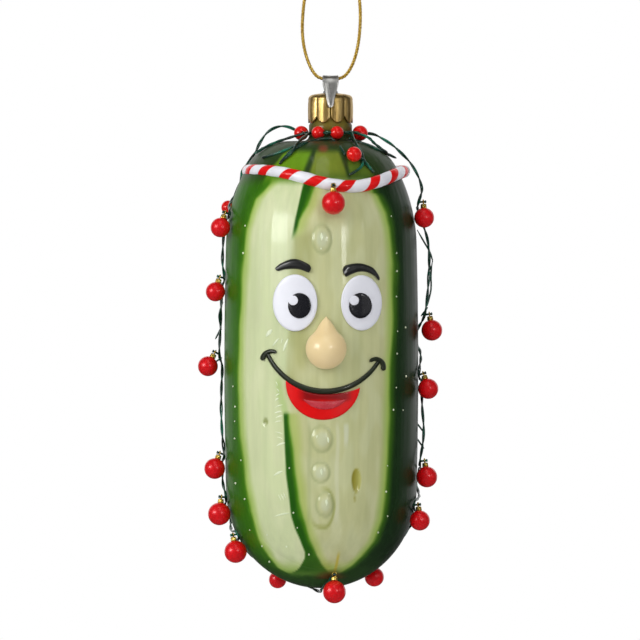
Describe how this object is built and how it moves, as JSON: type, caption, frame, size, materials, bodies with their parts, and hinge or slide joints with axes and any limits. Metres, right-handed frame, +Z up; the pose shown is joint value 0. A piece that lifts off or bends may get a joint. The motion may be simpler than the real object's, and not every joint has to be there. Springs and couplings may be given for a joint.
{
  "type": "hanging pickle ornament",
  "caption": "Painted glass pickle ornament with a smiling face, striped headband and a wire garland of red baubles, hung from a gold cap, bail and cord loop.",
  "frame": {"origin": "inside the top of the cord loop, where the ornament hangs from a branch or hook", "axes": "+Z up along the hanging line, -Y out of the face, +X to the viewer's right"},
  "size_m": [0.0611, 0.054, 0.1683],
  "materials": {
    "gold_cord": "twisted metallic thread",
    "silver": "bright",
    "gold_cap": "brushed gold",
    "spring_steel": "plain",
    "pickle_glass": "painted green and pale flesh under clear gloss",
    "candy_stripe": "white with red stripes, gloss",
    "green_wire": "dark green enamel",
    "red_bead": "gloss",
    "red_bauble": "satin",
    "bauble_gold": "bright gold",
    "eye_white": "gloss",
    "pupil_black": "gloss",
    "brow_charcoal": "satin",
    "nose_peach": "gloss",
    "line_black": "gloss",
    "mouth_red": "gloss",
    "tongue_red": "gloss"
  },
  "bodies": {
    "hanging_loop": {"hanging_cord": "gold_cord", "cord_knot": "gold_cord"},
    "bail": {"bail": "silver"},
    "ornament": {"band_hook": "green_wire", "cap": "gold_cap", "cap_spring": "spring_steel", "crown_wire": "green_wire", "glass_body": "pickle_glass", "headband": "candy_stripe", "left_brow": "brow_charcoal", "left_eye": "eye_white", "left_garland_wire": "green_wire", "left_pupil": "pupil_black", "mouth": "mouth_red", "nose": "nose_peach", "right_brow": "brow_charcoal", "right_eye": "eye_white", "right_garland_wire": "green_wire", "right_pupil": "pupil_black", "ring_bead_1": "red_bead", "ring_bead_2": "red_bead", "ring_bead_3": "red_bead", "ring_bead_4": "red_bead", "shoulder_bead": "red_bead", "side_bead": "red_bead", "smile_line": "line_black", "tongue": "tongue_red"},
    "bottom_bauble_1": {"bottom_bauble_1_ball": "red_bauble", "bottom_bauble_1_cap": "bauble_gold"},
    "bottom_bauble_2": {"bottom_bauble_2_ball": "red_bauble", "bottom_bauble_2_cap": "bauble_gold"},
    "bottom_bauble_3": {"bottom_bauble_3_ball": "red_bauble", "bottom_bauble_3_cap": "bauble_gold"},
    "front_bauble": {"front_bauble_ball": "red_bauble", "front_bauble_cap": "bauble_gold"},
    "left_bauble_1": {"left_bauble_1_ball": "red_bauble", "left_bauble_1_cap": "bauble_gold"},
    "left_bauble_2": {"left_bauble_2_ball": "red_bauble", "left_bauble_2_cap": "bauble_gold"},
    "left_bauble_3": {"left_bauble_3_ball": "red_bauble", "left_bauble_3_cap": "bauble_gold"},
    "left_bauble_4": {"left_bauble_4_ball": "red_bauble", "left_bauble_4_cap": "bauble_gold"},
    "left_bauble_5": {"left_bauble_5_ball": "red_bauble", "left_bauble_5_cap": "bauble_gold"},
    "left_bauble_6": {"left_bauble_6_ball": "red_bauble", "left_bauble_6_cap": "bauble_gold"},
    "right_bauble_1": {"right_bauble_1_ball": "red_bauble", "right_bauble_1_cap": "bauble_gold"},
    "right_bauble_2": {"right_bauble_2_ball": "red_bauble", "right_bauble_2_cap": "bauble_gold"},
    "right_bauble_3": {"right_bauble_3_ball": "red_bauble", "right_bauble_3_cap": "bauble_gold"},
    "right_bauble_4": {"right_bauble_4_ball": "red_bauble", "right_bauble_4_cap": "bauble_gold"},
    "right_bauble_5": {"right_bauble_5_ball": "red_bauble", "right_bauble_5_cap": "bauble_gold"}
  },
  "joints": [
    {"name": "bail_on_cord", "type": "hinge", "parent": "hanging_loop", "child": "bail", "pos_m": [0, 0, -0.0308], "axis": [1, 0, 0], "range_deg": [-60, 60]},
    {"name": "cap_on_bail", "type": "hinge", "parent": "bail", "child": "ornament", "pos_m": [0, 0, -0.03725], "axis": [0, 1, 0], "range_deg": [-60, 60]},
    {"name": "left_bauble_1_swing", "type": "hinge", "parent": "ornament", "child": "left_bauble_1", "pos_m": [-0.0263, -0.00743, -0.06424], "axis": [-0.9085, -0.2812, 0.309], "range_deg": [-15, 15]},
    {"name": "left_bauble_2_swing", "type": "hinge", "parent": "ornament", "child": "left_bauble_2", "pos_m": [-0.02766, -0.00498, -0.08023], "axis": [-0.9433, -0.1851, 0.2756], "range_deg": [-15, 15]},
    {"name": "left_bauble_3_swing", "type": "hinge", "parent": "ornament", "child": "left_bauble_3", "pos_m": [-0.02886, 0, -0.09903], "axis": [-0.891, 0, 0.454], "range_deg": [-15, 15]},
    {"name": "left_bauble_4_swing", "type": "hinge", "parent": "ornament", "child": "left_bauble_4", "pos_m": [-0.0277, -0.00471, -0.12419], "axis": [-0.9377, -0.1738, 0.3007], "range_deg": [-15, 15]},
    {"name": "left_bauble_5_swing", "type": "hinge", "parent": "ornament", "child": "left_bauble_5", "pos_m": [-0.02722, -0.00608, -0.1351], "axis": [-0.9643, -0.2351, 0.1219], "range_deg": [-15, 15]},
    {"name": "left_bauble_6_swing", "type": "hinge", "parent": "ornament", "child": "left_bauble_6", "pos_m": [-0.0243, -0.00745, -0.14455], "axis": [-0.9355, -0.3167, -0.1564], "range_deg": [-15, 15]},
    {"name": "bottom_bauble_1_swing", "type": "hinge", "parent": "ornament", "child": "bottom_bauble_1", "pos_m": [-0.01326, 0.01325, -0.1526], "axis": [-0.6374, 0.7705, 0], "range_deg": [-15, 15]},
    {"name": "bottom_bauble_2_swing", "type": "hinge", "parent": "ornament", "child": "bottom_bauble_2", "pos_m": [0.00095, -0.01465, -0.15425], "axis": [0.2164, -0.9763, 0], "range_deg": [-15, 15]},
    {"name": "right_bauble_1_swing", "type": "hinge", "parent": "ornament", "child": "right_bauble_1", "pos_m": [0.02318, -0.00349, -0.0615], "axis": [0.9894, -0.1355, 0.0523], "range_deg": [-15, 15]},
    {"name": "right_bauble_2_swing", "type": "hinge", "parent": "ornament", "child": "right_bauble_2", "pos_m": [0.02473, 0, -0.08952], "axis": [0.989, 0, 0.1478], "range_deg": [-15, 15]},
    {"name": "right_bauble_3_swing", "type": "hinge", "parent": "ornament", "child": "right_bauble_3", "pos_m": [0.02317, -0.00541, -0.10433], "axis": [0.9329, -0.1983, 0.3007], "range_deg": [-15, 15]},
    {"name": "right_bauble_4_swing", "type": "hinge", "parent": "ornament", "child": "right_bauble_4", "pos_m": [0.02349, -0.00464, -0.12612], "axis": [0.9758, -0.1756, 0.1305], "range_deg": [-15, 15]},
    {"name": "right_bauble_5_swing", "type": "hinge", "parent": "ornament", "child": "right_bauble_5", "pos_m": [0.02184, -0.0078, -0.137], "axis": [0.9464, -0.3057, 0.1045], "range_deg": [-15, 15]},
    {"name": "bottom_bauble_3_swing", "type": "hinge", "parent": "ornament", "child": "bottom_bauble_3", "pos_m": [0.011, 0.01218, -0.15167], "axis": [0.7373, 0.6756, 0], "range_deg": [-15, 15]},
    {"name": "front_bauble_swing", "type": "hinge", "parent": "ornament", "child": "front_bauble", "pos_m": [0.00068, -0.02545, -0.0577], "axis": [0.0698, -0.9976, 0], "range_deg": [-15, 15]}
  ]
}
